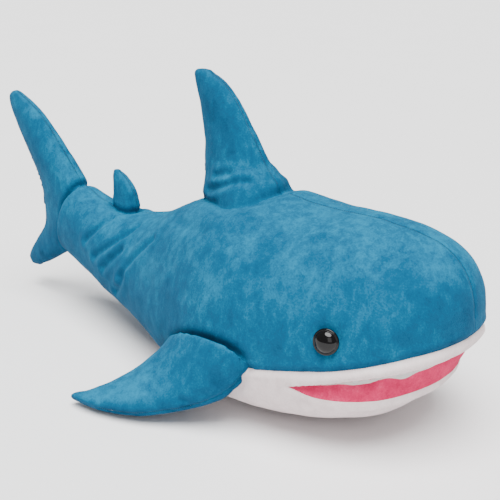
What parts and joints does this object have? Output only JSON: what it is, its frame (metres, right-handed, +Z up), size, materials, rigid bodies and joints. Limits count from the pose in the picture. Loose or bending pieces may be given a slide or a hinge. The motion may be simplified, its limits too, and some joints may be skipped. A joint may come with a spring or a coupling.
{
  "type": "plush shark",
  "caption": "Long stuffed shark in blue velvet with a white belly, a smiling mouth, button eyes and soft fins that flex; it lies on its belly.",
  "frame": {"origin": "on the floor under the middle of the shark's length, in its middle plane", "axes": "+X towards the nose, +Y to the shark's left, +Z up"},
  "size_m": [0.9583, 0.526, 0.455],
  "materials": {
    "blue_velvet": "short-pile velvet, brushed nap",
    "white_velvet": "short-pile velvet, warm white",
    "pink_velvet": "short-pile velvet, coral pink",
    "polyester_fill": "loose polyester fibre filling",
    "eye_plastic": "polished black",
    "washer_plastic": "natural"
  },
  "bodies": {
    "trunk": {"trunk_filling": "polyester_fill", "back_panel_left": "blue_velvet", "back_panel_right": "blue_velvet", "belly_panel": "white_velvet", "mouth_lining": "pink_velvet", "eye_left": "eye_plastic", "eye_right": "eye_plastic", "eye_washer_left": "washer_plastic", "eye_washer_right": "washer_plastic"},
    "tail": {"tail_filling": "polyester_fill", "tail_panel_left": "blue_velvet", "tail_panel_right": "blue_velvet"},
    "tail_fin": {"tail_fin_filling": "polyester_fill", "tail_fin_panel_left": "blue_velvet", "tail_fin_panel_right": "blue_velvet"},
    "dorsal_fin": {"dorsal_fin_filling": "polyester_fill", "dorsal_fin_panel_left": "blue_velvet", "dorsal_fin_panel_right": "blue_velvet"},
    "second_dorsal_fin": {"second_dorsal_fin_filling": "polyester_fill", "second_dorsal_fin_panel_left": "blue_velvet", "second_dorsal_fin_panel_right": "blue_velvet"},
    "pectoral_fin_left": {"pectoral_fin_left_filling": "polyester_fill", "pectoral_fin_left_upper_panel": "blue_velvet", "pectoral_fin_left_lower_panel": "blue_velvet"},
    "pectoral_fin_right": {"pectoral_fin_right_filling": "polyester_fill", "pectoral_fin_right_upper_panel": "blue_velvet", "pectoral_fin_right_lower_panel": "blue_velvet"}
  },
  "joints": [
    {"name": "tail_bend", "type": "hinge", "parent": "trunk", "child": "tail", "pos_m": [-0.12, 0, 0.12], "axis": [0, 0, 1], "range_deg": [-18, 18], "stiffness_Nm_per_rad": 6},
    {"name": "tail_fin_bend", "type": "hinge", "parent": "tail", "child": "tail_fin", "pos_m": [-0.31197, 0, 0.1657], "axis": [0.3205, 0, 0.9472], "range_deg": [-15, 15], "stiffness_Nm_per_rad": 2},
    {"name": "dorsal_fin_lean", "type": "hinge", "parent": "trunk", "child": "dorsal_fin", "pos_m": [0.0865, 0, 0.292], "axis": [0.9781, 0, 0.2081], "range_deg": [-18, 18], "stiffness_Nm_per_rad": 1.2},
    {"name": "second_dorsal_fin_lean", "type": "hinge", "parent": "tail", "child": "second_dorsal_fin", "pos_m": [-0.168, 0, 0.2165], "axis": [0.9968, 0, 0.0804], "range_deg": [-18, 18], "stiffness_Nm_per_rad": 0.2},
    {"name": "pectoral_fin_left_lift", "type": "hinge", "parent": "trunk", "child": "pectoral_fin_left", "pos_m": [0.154, 0.17082, 0.07876], "axis": [0.9974, 0.0433, 0.0577], "range_deg": [0, 40], "stiffness_Nm_per_rad": 1.2},
    {"name": "pectoral_fin_right_lift", "type": "hinge", "parent": "trunk", "child": "pectoral_fin_right", "pos_m": [0.154, -0.17082, 0.07876], "axis": [-0.9974, 0.0433, -0.0577], "range_deg": [0, 40], "stiffness_Nm_per_rad": 1.2}
  ]
}
